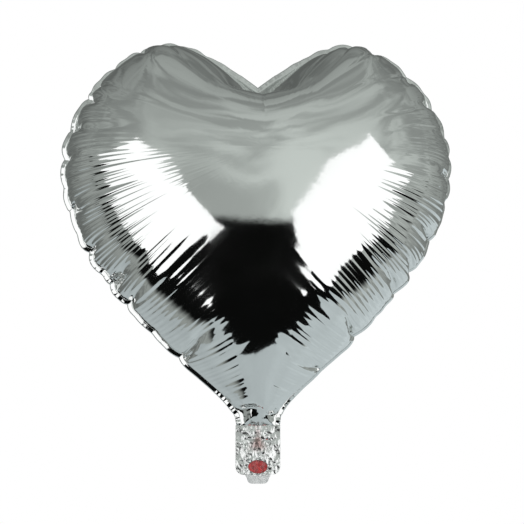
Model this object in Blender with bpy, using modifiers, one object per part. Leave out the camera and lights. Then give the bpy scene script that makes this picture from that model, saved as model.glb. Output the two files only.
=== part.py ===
"""Heart-shaped foil balloon, inflated, with its tail and its self-sealing valve.

Metres, +Z up. The front of the heart faces -Y. The origin is on the fold line of
the neck, where a ribbon is tied: the heart stands above it and the tail hangs below.

Two foil sheets are welded together along the outline of a heart. The valve is a
flat tube of two clear films between them: its mouth is at the end of the tail, it
passes the neck, and its inner end stands free inside the gas.
"""

import math

import bmesh
import bpy
import numpy as np
from mathutils import Matrix, Vector

# ---- Seam line of the inflated heart (right half, seen from the front) ----
SEAM_HALF_WIDTH = 0.1860  # X of the widest point
WIDEST_Z = 0.2470
LOBE_TOP_X = 0.0805
LOBE_TOP_Z = 0.3660
NOTCH_Z = 0.3240  # bottom of the notch between the lobes
NOTCH_SLOPE = math.radians(35.5)
NECK_SLOPE = math.radians(48.5)  # slope of the lower flank where it leaves the neck
NOTCH_HANDLE = 0.0520
LOBE_INNER_HANDLE = 0.0140
LOBE_OUTER_HANDLE = 0.0585
WIDEST_UPPER_HANDLE = 0.0530
WIDEST_LOWER_HANDLE = 0.0960
NECK_HANDLE = 0.0565
NECK_TOP_Z = 0.0120  # the neck's sides are parallel up to here

# ---- Inflated form ----
HALF_DEPTH = 0.0980  # from the seam's plane to the crown of one panel
CROWN_Z = 0.2150  # height of the crown
CROWN_ROUNDING = 0.85  # how far the rings lose the heart's notch by the crown
CROWN_ROUNDING_POWER = 1.5  # how late that happens
CROWN_RADIUS_X = 0.1700
CROWN_RADIUS_Z = 0.1650
NECK_TAPER = 0.0420  # the panels rise from the flat neck over this height

# ---- Film thicknesses and gaps ----
FOIL = 0.0004
VALVE_FILM = 0.0003
COAT = 0.0003
GAP = 0.0003  # between pieces that lie face to face
RIM_WIDTH = 0.0060  # flat welded margin outside the seam line
RIM_LAP = 0.0015  # welded margin that the panels sit on, inside the seam line

# ---- Tail ----
FOLD_CLEARANCE = 0.0018  # from the fold line to the neck above and to the tail below
TAIL_LENGTH = 0.0455
TAIL_CORNER_RADIUS = 0.0080
TAIL_SEAL_WIDTH = 0.0050
TAIL_SEAL_END = 0.0020  # the side seals stop this far above the tail's corners
PORT_WIDTH = 0.0190  # oval inflation hole in the front of the tail
PORT_HEIGHT = 0.0130
PORT_TO_TAIL_END = 0.0012  # from the hole's edge to the end of the tail

# ---- Valve ----
VALVE_WIDTH = 0.0260
VALVE_SIDE_GAP = 0.0013  # from the valve to the rim on each side of the neck
VALVE_SEAM_WIDTH = 0.0025
INNER_VALVE_LENGTH = 0.0860  # what stands inside the gas
INNER_VALVE_CLEARANCE = 0.0008
LIP_WIDTH = 0.0210
LIP_LENGTH = 0.0075
LIP_CORNER_RADIUS = 0.0050
LIP_CLEARANCE = 0.0006
COAT_MARGIN = 0.0010  # from the edge of the coat to the valve's side seams

# ---- Fineness of the round stretches ----
STEPS_NOTCH_TO_LOBE = 6
STEPS_LOBE_TO_WIDEST = 10
STEPS_WIDEST_TO_NECK = 12
STEPS_ACROSS_NECK = 4
RINGS = 9
ARC_STEPS = 6
PORT_STEPS = 24
HEIGHT_STEPS = 64  # of the sum that gives the panels' section

# ---- Places that follow from the sizes above ----
COAT_HALF = COAT / 2
VALVE_INNER_FACE = COAT_HALF + GAP
VALVE_OUTER_FACE = VALVE_INNER_FACE + VALVE_FILM
FOIL_INNER_FACE = VALVE_OUTER_FACE + GAP
FOIL_OUTER_FACE = FOIL_INNER_FACE + FOIL
RIM_HALF_THICKNESS = FOIL_INNER_FACE - GAP
NECK_HALF_WIDTH = VALVE_WIDTH / 2 + VALVE_SIDE_GAP + RIM_LAP
TAIL_HALF_WIDTH = NECK_HALF_WIDTH + RIM_WIDTH
PORT_CENTRE_Z = -TAIL_LENGTH + PORT_TO_TAIL_END + PORT_HEIGHT / 2
SIDE_SEAM_HALF = VALVE_INNER_FACE - GAP
LIP_AXIS_Z = -TAIL_LENGTH - LIP_CLEARANCE
LIP_AXIS_Y = (VALVE_INNER_FACE + VALVE_OUTER_FACE) / 2
INNER_AXIS_Z = NECK_TOP_Z + INNER_VALVE_CLEARANCE


def clear_scene():
    for obj in list(bpy.data.objects):
        bpy.data.objects.remove(obj, do_unlink=True)


def new_collection(name):
    collection = bpy.data.collections.new(name)
    bpy.context.scene.collection.children.link(collection)
    return collection


def new_material(name, colour, roughness, metallic, alpha=1.0):
    material = bpy.data.materials.new(name)
    material.use_nodes = True
    shader = material.node_tree.nodes["Principled BSDF"]
    shader.inputs["Base Color"].default_value = (*colour, 1.0)
    shader.inputs["Roughness"].default_value = roughness
    shader.inputs["Metallic"].default_value = metallic
    shader.inputs["Alpha"].default_value = alpha
    return material


def new_empty(name, collection, location, parent=None):
    """An empty on a joint's axis. The location is in the world."""
    empty = bpy.data.objects.new(name, None)
    collection.objects.link(empty)
    empty.location = Vector(location) - (parent.location if parent else Vector())
    empty.parent = parent
    return empty


def world_place(empty):
    place = Vector(empty.location)
    while empty.parent:
        empty = empty.parent
        place += empty.location
    return place


def attach(obj, collection, material, empty=None):
    """Links a piece whose place is already in the world, and hangs it on its joint's empty."""
    collection.objects.link(obj)
    obj.data.materials.append(material)
    if empty:
        obj.parent = empty
        obj.matrix_parent_inverse = Matrix.Translation(-world_place(empty))
    return obj


# ---- Outlines, as lists of (x, z) ----


def bezier(start, handle_a, handle_b, end, steps):
    """Points along a cubic, without its last point."""
    points = []
    for i in range(steps):
        t = i / steps
        u = 1.0 - t
        weights = (u**3, 3 * u * u * t, 3 * u * t * t, t**3)
        corners = (start, handle_a, handle_b, end)
        points.append(tuple(sum(w * c[k] for w, c in zip(weights, corners)) for k in (0, 1)))
    return points


def half_seam():
    """The seam line from the notch, round the right lobe, down to the end of the neck."""
    notch = (0.0, NOTCH_Z)
    lobe = (LOBE_TOP_X, LOBE_TOP_Z)
    widest = (SEAM_HALF_WIDTH, WIDEST_Z)
    neck = (NECK_HALF_WIDTH, NECK_TOP_Z)
    notch_handle = (
        NOTCH_HANDLE * math.cos(NOTCH_SLOPE),
        NOTCH_Z + NOTCH_HANDLE * math.sin(NOTCH_SLOPE),
    )
    neck_handle = (
        neck[0] + NECK_HANDLE * math.cos(NECK_SLOPE),
        neck[1] + NECK_HANDLE * math.sin(NECK_SLOPE),
    )
    points = bezier(
        notch, notch_handle, (lobe[0] - LOBE_INNER_HANDLE, lobe[1]), lobe, STEPS_NOTCH_TO_LOBE
    )
    points += bezier(
        lobe,
        (lobe[0] + LOBE_OUTER_HANDLE, lobe[1]),
        (widest[0], widest[1] + WIDEST_UPPER_HANDLE),
        widest,
        STEPS_LOBE_TO_WIDEST,
    )
    points += bezier(
        widest,
        (widest[0], widest[1] - WIDEST_LOWER_HANDLE),
        neck_handle,
        neck,
        STEPS_WIDEST_TO_NECK,
    )
    points.append(neck)
    points.append((NECK_HALF_WIDTH, FOLD_CLEARANCE))
    return points


def seam_from_neck_to_neck():
    """The open seam line, from the right end of the neck over both lobes to its left end."""
    right = half_seam()
    left = [(-x, z) for x, z in right[1:]]
    return right[::-1] + left


def closed_panel_outline():
    """The seam line closed across the end of the neck."""
    outline = seam_from_neck_to_neck()
    right, left = outline[0], outline[-1]
    for i in range(1, STEPS_ACROSS_NECK):
        t = i / STEPS_ACROSS_NECK
        outline.append((left[0] + (right[0] - left[0]) * t, left[1]))
    return outline


def offset_line(points, distance):
    """An open line moved outwards by a distance, mitred at its corners."""
    moved = []
    for i, (x, z) in enumerate(points):
        normals = []
        for a, b in ((i - 1, i), (i, i + 1)):
            if a < 0 or b >= len(points):
                continue
            along = Vector((points[b][0] - points[a][0], points[b][1] - points[a][1])).normalized()
            normals.append(Vector((along.y, -along.x)))
        total = sum(normals, Vector((0.0, 0.0)))
        scale = distance / (1.0 + normals[0].dot(normals[-1])) * (2.0 / len(normals))
        moved.append((x + total.x * scale, z + total.y * scale))
    return moved


def rounded_end(half_width, top_z, bottom_z, radius):
    """A strip with square upper corners and round lower ones."""
    outline = [(-half_width, top_z), (half_width, top_z)]
    for side, start in ((1, 0.0), (-1, -math.pi / 2)):
        centre = (side * (half_width - radius), bottom_z + radius)
        for i in range(ARC_STEPS + 1):
            angle = start - (math.pi / 2) * i / ARC_STEPS
            outline.append(
                (centre[0] + radius * math.cos(angle), centre[1] + radius * math.sin(angle))
            )
    return outline


def oval(width, height, centre_z, steps):
    turns = [2 * math.pi * i / steps for i in range(steps)]
    return [(width / 2 * math.cos(a), centre_z + height / 2 * math.sin(a)) for a in turns]


# ---- Solids ----


def flat_sheet(name, outlines, thickness, y_centre):
    """A flat sheet in the XZ plane. Outlines after the first one are holes in it."""
    curve = bpy.data.curves.new(name, "CURVE")
    curve.dimensions = "2D"
    curve.fill_mode = "BOTH"
    curve.extrude = thickness / 2
    for outline in outlines:
        spline = curve.splines.new("POLY")
        spline.points.add(len(outline) - 1)
        spline.use_cyclic_u = True
        for point, (x, z) in zip(spline.points, outline):
            point.co = (x, z, 0.0, 1.0)
    obj = bpy.data.objects.new(name, curve)
    obj.rotation_euler = (math.pi / 2, 0.0, 0.0)
    obj.location = (0.0, y_centre, 0.0)
    return obj


def film_strip(name, x_range, y_range, z_range):
    """A rectangular strip of film, from a cube."""
    lows, highs = zip(x_range, y_range, z_range)
    size = [high - low for low, high in zip(lows, highs)]
    centre = [(high + low) / 2 for low, high in zip(lows, highs)]
    shape = bmesh.new()
    bmesh.ops.create_cube(shape, size=1.0)
    bmesh.ops.scale(shape, vec=size, verts=shape.verts)
    mesh = bpy.data.meshes.new(name)
    shape.to_mesh(mesh)
    shape.free()
    obj = bpy.data.objects.new(name, mesh)
    obj.location = centre
    return obj


def crown_height(share):
    """Height of an inflated inextensible disc, as a share of its crown, at a share of its radius."""

    def rise(from_share):
        angles = np.linspace(math.asin(min(1.0, from_share)), math.pi / 2, HEIGHT_STEPS)
        values = np.sin(angles) ** 2 / np.sqrt(1.0 + np.sin(angles) ** 2)
        return float(np.sum((values[1:] + values[:-1]) / 2 * np.diff(angles)))

    return rise(share) / rise(0.0)


def ring_shares():
    """Radius shares of the rings, closer together near the seam, where the panel is steep."""
    return [math.cos(math.pi / 2 * i / RINGS) for i in range(RINGS)]


def panel_surface(name, side):
    """One open panel. Its rings run from the seam line to the crown and turn from a heart to an oval."""
    outline = closed_panel_outline()
    shape = bmesh.new()
    rings = []
    for share in ring_shares():
        rounding = CROWN_ROUNDING * (1.0 - share) ** CROWN_ROUNDING_POWER
        height = crown_height(share)
        ring = []
        for x, z in outline:
            reach_x, reach_z = x, z - CROWN_Z
            turn = math.atan2(reach_z / CROWN_RADIUS_Z, reach_x / CROWN_RADIUS_X)
            oval_x = CROWN_RADIUS_X * math.cos(turn)
            oval_z = CROWN_RADIUS_Z * math.sin(turn)
            px = share * (reach_x + (oval_x - reach_x) * rounding)
            pz = CROWN_Z + share * (reach_z + (oval_z - reach_z) * rounding)
            taper = 1.0 - math.exp(-max(0.0, pz - FOLD_CLEARANCE) / NECK_TAPER)
            depth = FOIL_INNER_FACE + (HALF_DEPTH - FOIL_OUTER_FACE) * height * taper
            ring.append(shape.verts.new((px, side * depth, pz)))
        rings.append(ring)
    crown_depth = FOIL_INNER_FACE + (HALF_DEPTH - FOIL_OUTER_FACE) * (
        1.0 - math.exp(-(CROWN_Z - FOLD_CLEARANCE) / NECK_TAPER)
    )
    crown = shape.verts.new((0.0, side * crown_depth, CROWN_Z))
    count = len(outline)
    for outer, inner in zip(rings, rings[1:]):
        for i in range(count):
            j = (i + 1) % count
            shape.faces.new((outer[i], outer[j], inner[j], inner[i]))
    for i in range(count):
        shape.faces.new((rings[-1][i], rings[-1][(i + 1) % count], crown))
    bmesh.ops.recalc_face_normals(shape, faces=shape.faces)
    facing = sum(face.normal.y * face.calc_area() for face in shape.faces)
    if facing * side < 0:
        bmesh.ops.reverse_faces(shape, faces=shape.faces)
    mesh = bpy.data.meshes.new(name)
    shape.to_mesh(mesh)
    shape.free()
    mesh.shade_smooth()
    obj = bpy.data.objects.new(name, mesh)
    wall = obj.modifiers.new("Foil wall", "SOLIDIFY")
    wall.thickness = FOIL
    wall.offset = 1.0
    return obj


def seal_rim():
    """The flat welded margin round the heart and down both sides of the neck."""
    seam = seam_from_neck_to_neck()
    outline = offset_line(seam, RIM_WIDTH) + offset_line(seam, -RIM_LAP)[::-1]
    return flat_sheet("seal_rim", [outline], 2 * RIM_HALF_THICKNESS, 0.0)


# ---- Sub-assemblies ----


def valve_films(prefix, z_range, collection, material, empty=None):
    """The two clear films of one stretch of the valve."""
    half = VALVE_WIDTH / 2
    for name, side in (("front", -1), ("back", 1)):
        faces = sorted((side * VALVE_INNER_FACE, side * VALVE_OUTER_FACE))
        film = film_strip(f"{prefix}_{name}_film", (-half, half), faces, z_range)
        attach(film, collection, material, empty)


def valve_seams(prefix, z_range, collection, material, empty):
    """The welds along both sides of the valve, between its films."""
    half = VALVE_WIDTH / 2
    for name, side in (("left", -1), ("right", 1)):
        across = sorted((side * half, side * (half - VALVE_SEAM_WIDTH)))
        seam = film_strip(f"{prefix}_{name}_seam", across, (-SIDE_SEAM_HALF, SIDE_SEAM_HALF), z_range)
        attach(seam, collection, material, empty)


def release_coat(name, z_range, collection, material, empty=None):
    """The red coat inside the valve that keeps its films from welding to each other."""
    half = VALVE_WIDTH / 2 - VALVE_SEAM_WIDTH - COAT_MARGIN
    coat = film_strip(name, (-half, half), (-COAT_HALF, COAT_HALF), z_range)
    attach(coat, collection, material, empty)


def build_envelope(collection, foil, clear, red):
    attach(panel_surface("front_panel", -1), collection, foil)
    attach(panel_surface("back_panel", 1), collection, foil)
    attach(seal_rim(), collection, foil)
    neck = (FOLD_CLEARANCE, NECK_TOP_Z)
    valve_films("neck_valve", neck, collection, clear)
    release_coat("neck_release_coat", neck, collection, red)


def build_inner_valve(collection, clear):
    axis = new_empty("inner_valve_axis", collection, (0.0, 0.0, INNER_AXIS_Z))
    low = INNER_AXIS_Z + INNER_VALVE_CLEARANCE
    stretch = (low, low + INNER_VALVE_LENGTH)
    valve_films("inner_valve", stretch, collection, clear, axis)
    valve_seams("inner_valve", stretch, collection, clear, axis)


def build_tail(collection, foil, clear, red):
    fold = new_empty("tail_fold_axis", collection, (0.0, 0.0, 0.0))
    top = -FOLD_CLEARANCE
    bottom = -TAIL_LENGTH
    outline = rounded_end(TAIL_HALF_WIDTH, top, bottom, TAIL_CORNER_RADIUS)
    port = oval(PORT_WIDTH, PORT_HEIGHT, PORT_CENTRE_Z, PORT_STEPS)
    middle = (FOIL_INNER_FACE + FOIL_OUTER_FACE) / 2
    attach(flat_sheet("tail_front_sheet", [outline, port], FOIL, -middle), collection, foil, fold)
    attach(flat_sheet("tail_back_sheet", [outline], FOIL, middle), collection, foil, fold)
    seal_low = bottom + TAIL_CORNER_RADIUS + TAIL_SEAL_END
    for name, side in (("left", -1), ("right", 1)):
        across = sorted((side * TAIL_HALF_WIDTH, side * (TAIL_HALF_WIDTH - TAIL_SEAL_WIDTH)))
        depth = (-RIM_HALF_THICKNESS, RIM_HALF_THICKNESS)
        seal = film_strip(f"tail_{name}_seal", across, depth, (seal_low, top))
        attach(seal, collection, foil, fold)
    valve_films("tail_valve", (bottom, top), collection, clear, fold)
    valve_seams("tail_valve", (bottom, top), collection, clear, fold)
    release_coat("tail_release_coat", (bottom + COAT_MARGIN, top), collection, red, fold)
    return fold


def build_mouth(collection, clear, fold):
    """The ends of the two valve films below the tail, which part as a nozzle goes in."""
    top = LIP_AXIS_Z - LIP_CLEARANCE
    outline = rounded_end(LIP_WIDTH / 2, top, top - LIP_LENGTH, LIP_CORNER_RADIUS)
    for name, side in (("front", -1), ("back", 1)):
        place = (0.0, side * LIP_AXIS_Y, LIP_AXIS_Z)
        axis = new_empty(f"{name}_lip_axis", collection, place, fold)
        lip = flat_sheet(f"mouth_{name}_lip", [outline], VALVE_FILM, side * LIP_AXIS_Y)
        attach(lip, collection, clear, axis)


def main():
    clear_scene()
    balloon = new_collection("heart_foil_balloon")
    foil = new_material("metallised_foil", (0.79, 0.80, 0.80), 0.08, 1.0)
    clear = new_material("clear_valve_film", (0.92, 0.93, 0.93), 0.15, 0.0, 0.4)
    red = new_material("red_release_coat", (0.62, 0.03, 0.04), 0.35, 0.0)
    build_envelope(balloon, foil, clear, red)
    build_inner_valve(balloon, clear)
    fold = build_tail(balloon, foil, clear, red)
    build_mouth(balloon, clear, fold)
    bpy.context.view_layer.update()


main()
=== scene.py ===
import math

import bmesh
import bpy
import numpy as np
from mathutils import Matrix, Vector
from mathutils.geometry import delaunay_2d_cdt
from mathutils.kdtree import KDTree


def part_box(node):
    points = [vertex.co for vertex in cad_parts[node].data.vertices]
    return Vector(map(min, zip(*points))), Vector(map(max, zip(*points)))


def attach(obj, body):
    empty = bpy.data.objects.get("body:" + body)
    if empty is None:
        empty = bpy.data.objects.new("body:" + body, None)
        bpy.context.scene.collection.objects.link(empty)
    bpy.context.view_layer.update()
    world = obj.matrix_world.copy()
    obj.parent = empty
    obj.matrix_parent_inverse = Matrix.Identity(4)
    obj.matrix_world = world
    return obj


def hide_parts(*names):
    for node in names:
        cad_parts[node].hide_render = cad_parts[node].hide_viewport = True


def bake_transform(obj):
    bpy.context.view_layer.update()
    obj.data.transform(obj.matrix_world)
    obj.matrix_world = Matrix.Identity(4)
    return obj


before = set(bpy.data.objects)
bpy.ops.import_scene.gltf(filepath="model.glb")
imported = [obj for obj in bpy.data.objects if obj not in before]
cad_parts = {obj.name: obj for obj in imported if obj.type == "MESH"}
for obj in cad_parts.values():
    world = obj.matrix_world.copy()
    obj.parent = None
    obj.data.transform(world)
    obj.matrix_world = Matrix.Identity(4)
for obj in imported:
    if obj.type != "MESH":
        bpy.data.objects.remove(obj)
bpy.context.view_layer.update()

print("frame loaded")

# lengths are in metres; the front is -Y and up is +Z, as in the frame

multiply = {"operation": "MULTIPLY"}
subtract = {"operation": "SUBTRACT"}
add = {"operation": "ADD"}
smoothStep = {"interpolation_type": "SMOOTHSTEP"}


def hexColour(code, alpha=1.0):
    # sRGB hex to linear
    parts = [int(code[i:i + 2], 16) / 255 for i in (1, 3, 5)]
    linear = [p / 12.92 if p <= 0.04045 else ((p + 0.055) / 1.055) ** 2.4 for p in parts]
    return (*linear, alpha)


def addNode(tree, kind, settings=None, inputs=(), **links):
    # settings: attribute names, or input names with a plain value; inputs: values or output sockets
    # by the input's place; links: input name = output socket
    node = tree.nodes.new(kind)
    for key, value in (settings or {}).items():
        if hasattr(node, key):
            setattr(node, key, value)
        else:
            node.inputs[key].default_value = value
    places = inputs.items() if isinstance(inputs, dict) else enumerate(inputs)
    given = [(node.inputs[place], value) for place, value in places]
    given += [(node.inputs[name.replace("_", " ")], socket) for name, socket in links.items()]
    for socket, value in given:
        if isinstance(value, bpy.types.NodeSocket):
            tree.links.new(value, socket)
        else:
            socket.default_value = value
    return node


def newMaterial(name):
    material = bpy.data.materials.new(name)
    material.use_nodes = True
    return material, material.node_tree, material.node_tree.nodes["Principled BSDF"]


def makeObject(name, points, faces, material, smooth=True):
    mesh = bpy.data.meshes.new(name)
    mesh.from_pydata([tuple(p) for p in points], [], [tuple(f) for f in faces])
    mesh.update()
    mesh.materials.append(material)
    if smooth:
        mesh.shade_smooth()
    piece = bpy.data.objects.new(name, mesh)
    bpy.context.scene.collection.objects.link(piece)
    return piece


flatHeart = {  # the cut shape of one sheet, before it is filled: curves between a few points, x and z
    "notch": (0.0, 0.4563),
    "notchSlope": 13.3,  # degrees
    "notchHandle": 0.028,
    "lobe": (0.1000, 0.4731),
    "lobeHandles": (0.0223, 0.0699),
    "widest": (0.2416, 0.3151),
    "widestHandles": (0.0621, 0.2040),
    "neck": (0.0168, 0.0120),
    "neckHandle": 0.0360,
    "neckSlope": 86.9,
}

foilFill = {
    "spacing": 0.0055,  # between the points of the film
    "rounds": 2000,
    "sweeps": 2,  # over all the edges in each round
    "pressure": 5e-5,
    "endShare": 0.02,  # of the pressure, once the form has settled
    "settledAt": 0.6,  # share of the rounds
    "memory": 0.99,  # share of the speed kept each round
    "speedLimit": 0.3,  # of the spacing, in one round
    "startDepth": 0.002,
    "startUneven": 0.0005,
    "seed": 3,
    "compression": 0.02,  # how far a slack stretch pushes back
    "softening": 0.002,
}

# pinches: direction from the middle in degrees, share of the seam's length left there
seamPinches = [
    (123, 0.5), (148, 0.3), (162, 0.3), (171, 0.6), (185, 0.35), (213, 0.3), (247, 0.5),
    (66, 0.6), (58, 0.5), (52, 0.4), (40, 0.35), (26, 0.35), (17, 0.5), (5, 0.35),
    (-16, 0.3), (-38, 0.35), (-57, 0.4), (-72, 0.6),
]
pinchReach = 0.0055
flatMiddle = (0.0, 0.270)


def bezier(start, handleA, handleB, end, count):
    t = np.linspace(0.0, 1.0, count, endpoint=False)[:, None]
    u = 1.0 - t
    a, b, c, d = (np.array(p, float) for p in (start, handleA, handleB, end))
    return u ** 3 * a + 3 * u * u * t * b + 3 * u * t * t * c + t ** 3 * d


def turned(point, degrees, length):
    angle = math.radians(degrees)
    return (point[0] + length * math.cos(angle), point[1] + length * math.sin(angle))


def evenly(points, count):
    # the same line with evenly spaced points, both ends kept
    gaps = np.linalg.norm(np.diff(points, axis=0), axis=1)
    along = np.concatenate([[0.0], np.cumsum(gaps)])
    wanted = np.linspace(0.0, along[-1], count)
    return np.stack([np.interp(wanted, along, points[:, k]) for k in range(points.shape[1])], 1)


def lineLength(points):
    return float(np.linalg.norm(np.diff(points, axis=0), axis=1).sum())


def flatHalf():
    # right half of the flat heart, from the notch to the foot of the neck
    h = flatHeart
    lobe, widest, neck = h["lobe"], h["widest"], h["neck"]
    return np.vstack([
        bezier(h["notch"], turned(h["notch"], h["notchSlope"], h["notchHandle"]),
               (lobe[0] - h["lobeHandles"][0], lobe[1]), lobe, 200),
        bezier(lobe, (lobe[0] + h["lobeHandles"][1], lobe[1]),
               (widest[0], widest[1] + h["widestHandles"][0]), widest, 300),
        bezier(widest, (widest[0], widest[1] - h["widestHandles"][1]),
               turned(neck, h["neckSlope"], h["neckHandle"]), neck, 400),
        np.array([neck, (neck[0], 0.0)]),
    ])


def inside(points, outline):
    x, z = points[:, 0], points[:, 1]
    hit = np.zeros(len(points), bool)
    for (x0, z0), (x1, z1) in zip(outline, np.roll(outline, -1, 0)):
        if z0 != z1:
            hit ^= ((z0 > z) != (z1 > z)) & (x < (x1 - x0) * (z - z0) / (z1 - z0) + x0)
    return hit


def flatFilm(spacing):
    # triangles of one flat sheet; the outline's points come first
    half = flatHalf()
    right = evenly(half, int(round(lineLength(half) / spacing)) + 1)
    left = right[1:-1][::-1] * (-1, 1)
    foot = int(round(2 * right[-1][0] / spacing))
    across = np.linspace(right[-1][0], -right[-1][0], foot + 1)[1:]
    outline = np.vstack([right, np.stack([across, np.zeros(foot)], 1), left])
    rows = []
    step = spacing * math.sqrt(3) / 2
    reach = int(outline[:, 0].max() / spacing) + 1
    for row in range(int(outline[:, 1].max() / step) + 1):
        x = spacing * (np.arange(-reach - 1, reach + 1) + 0.5 * (row % 2))
        rows.append(np.stack([x, np.full(len(x), row * step)], 1))
    grid = np.vstack(rows)
    grid = grid[inside(grid, outline)]
    nearest = np.min([np.hypot(*(grid - p).T) for p in outline], axis=0)
    grid = grid[nearest > spacing * 0.62]
    count = len(outline)
    edges = [(i, (i + 1) % count) for i in range(count)]
    found = delaunay_2d_cdt([Vector(p) for p in np.vstack([outline, grid])], edges, [], 1, 1e-7)
    points = np.array([tuple(p) for p in found[0]])
    faces = np.array([list(f) for f in found[2]])
    a, b, c = (points[faces[:, k]] for k in range(3))
    area = (b[:, 0] - a[:, 0]) * (c[:, 1] - a[:, 1]) - (b[:, 1] - a[:, 1]) * (c[:, 0] - a[:, 0])
    faces[area < 0] = faces[area < 0][:, ::-1]
    return points, faces[np.abs(area) > 1e-10], count


def edgeGroups(edges, count):
    # groups of edges that share no point, so each group moves in one step
    used = [0] * count
    groups = {}
    for index, (a, b) in enumerate(edges.tolist()):
        taken = used[a] | used[b]
        group = 0
        while taken >> group & 1:
            group += 1
        used[a] |= 1 << group
        used[b] |= 1 << group
        groups.setdefault(group, []).append(index)
    return [np.array(g) for g in groups.values()]


def fillFilm(flat, faces, seamCount, values):
    # film that can't stretch, under pressure, with its seam held in the plane between the sheets
    pairs = np.concatenate([faces[:, [0, 1]], faces[:, [1, 2]], faces[:, [2, 0]]])
    edges = np.unique(np.sort(pairs, axis=1), axis=0)
    length = np.linalg.norm(flat[edges[:, 0]] - flat[edges[:, 1]], axis=1)
    bearing = np.degrees(np.arctan2(*(flat[:seamCount] - flatMiddle).T[::-1]))
    middles = (flat[edges[:, 0]] + flat[edges[:, 1]]) / 2
    onSeam = (edges < seamCount).all(axis=1)
    for direction, share in seamPinches:
        centre = flat[np.argmin(np.abs((bearing - direction + 180) % 360 - 180))]
        length[onSeam & (np.linalg.norm(middles - centre, axis=1) < pinchReach)] *= share
    groups = [(edges[g, 0], edges[g, 1], length[g]) for g in edgeGroups(edges, len(flat))]
    spacing, rounds = values["spacing"], values["rounds"]
    seam = np.arange(len(flat)) < seamCount
    foot = seam & (flat[:, 1] < 1e-6)
    footPlace = np.stack([flat[foot, 0], np.zeros(foot.sum()), flat[foot, 1]], 1)
    degree = np.bincount(edges.ravel(), minlength=len(flat))[:, None]
    dice = np.random.default_rng(values["seed"])
    start = -values["startDepth"] - values["startUneven"] * dice.random(len(flat))
    place = np.stack([flat[:, 0], start, flat[:, 1]], 1)
    before = place.copy()
    cell = spacing ** 2 * math.sqrt(3) / 2

    def hold():
        place[:, 1] = np.minimum(place[:, 1], 0.0)
        place[seam, 1] = 0.0
        place[foot] = footPlace

    def gather(index, vectors):
        return np.stack([np.bincount(index, vectors[:, k], len(flat)) for k in range(3)], 1)

    hold()
    for turn in range(rounds):
        a, b, c = (place[faces[:, k]] for k in range(3))
        push = np.cross(b - a, c - a) / 6
        push = sum(gather(faces[:, k], push) for k in range(3))
        push *= -np.sign(push[:, 1].sum()) / cell
        speed = (place - before) * values["memory"]
        size = np.linalg.norm(speed, axis=1)
        speed *= np.minimum(1.0, values["speedLimit"] * spacing / np.maximum(size, 1e-12))[:, None]
        before = place.copy()
        fade = max(values["endShare"], 1.0 - turn / (values["settledAt"] * rounds))
        place = place + speed + push * values["pressure"] * fade
        mean = gather(edges[:, 0], place[edges[:, 1]]) + gather(edges[:, 1], place[edges[:, 0]])
        place[~seam] += values["softening"] * (mean / degree - place)[~seam]
        hold()
        for sweep in range(values["sweeps"]):
            for i, j, rest in groups:
                gap = place[j] - place[i]
                now = np.linalg.norm(gap, axis=1)
                share = np.where(now > rest, 0.5, 0.5 * values["compression"])
                move = gap * (share * (now - rest) / now)[:, None]
                place[i] += move
                place[j] -= move
            hold()
    return place


foilSkin = {  # the fine mesh of one panel, in rings from the seam to the middle
    "around": 2048,  # points along the seam, about eight to a pucker
    "rings": [  # share of the way from the seam to the middle, by how many points a ring has
        (1, [0, 0.007, 0.017, 0.030, 0.046, 0.065, 0.087, 0.112, 0.140, 0.171, 0.204, 0.238,
             0.273]),
        (2, [0.300, 0.330, 0.360, 0.390, 0.420, 0.450, 0.480, 0.510, 0.540, 0.570, 0.600, 0.630]),
        (4, [0.662, 0.694, 0.726, 0.758, 0.790, 0.822]),
        (8, [0.858, 0.894, 0.930, 0.965, 1.0]),
    ],
    "spineTop": 0.300,  # the rings close onto a line up the middle, which ends here
    "neighbours": 44,
    "reach": 1.05,  # of the film's spacing, for the smooth surface through its points near the seam
    "calmReach": 2.1,  # and in the middle
    "calmFrom": 0.045,  # distance from the seam where the calmer surface begins
    "calmOver": 0.035,
    "steadyWindow": 0.060,  # the seam's own line, without its scallops
    "crispHalf": 0.055,  # beside the notch the seam follows the frame's line closely
    "crispOver": 0.035,
    "crispAbove": 0.2,
    "crispWindow": 9,
}


def fineOutline(count):
    half = np.vstack([flatHalf(), [(0.0, 0.0)]])
    right = evenly(half, count // 2 + 1)
    left = right[1:-1][::-1] * (-1, 1)
    return np.vstack([right, left])


def ringPlan(outline, top):
    # flat places of every ring, and the faces between them
    spine = np.stack([np.zeros(len(outline)), np.minimum(outline[:, 1] + np.abs(outline[:, 0]), top)], 1)
    count = len(outline)
    places, shares, columns, rings, total = [], [], [], [], 0
    for step, levels in foilSkin["rings"]:
        picked = np.arange(0, count, step)
        for level in levels:
            places.append(outline[picked] * (1 - level) + spine[picked] * level)
            shares.append(np.full(len(picked), level))
            columns.append(picked)
            rings.append(total + np.arange(len(picked)))
            total += len(picked)
    faces = []
    for outer, inner in zip(rings, rings[1:]):
        n = len(inner)
        if len(outer) == n:
            for i in range(n):
                j = (i + 1) % n
                faces.append((outer[i], inner[i], inner[j], outer[j]))
        else:
            for i in range(n):
                j = (i + 1) % n
                a, b, c = outer[2 * i], outer[2 * i + 1], outer[(2 * i + 2) % len(outer)]
                faces += [(a, inner[i], b), (b, inner[i], inner[j]), (b, inner[j], c)]
    depth = np.linalg.norm(outline - spine, axis=1)
    columns = np.concatenate(columns)
    depth = np.concatenate(shares) * depth[columns]
    places = np.vstack(places)
    _, first, same = np.unique(np.round(places, 6), axis=0, return_index=True, return_inverse=True)
    kept = np.sort(first)
    number = np.empty(len(places), int)
    number[kept] = np.arange(len(kept))
    number = number[first[same.reshape(-1)]]
    merged = []
    for face in faces:
        corners = list(dict.fromkeys(number[i] for i in face))
        if len(corners) > 2:
            merged.append(corners)
    return places[kept], merged, np.concatenate(shares)[kept], columns[kept], depth[kept]


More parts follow.
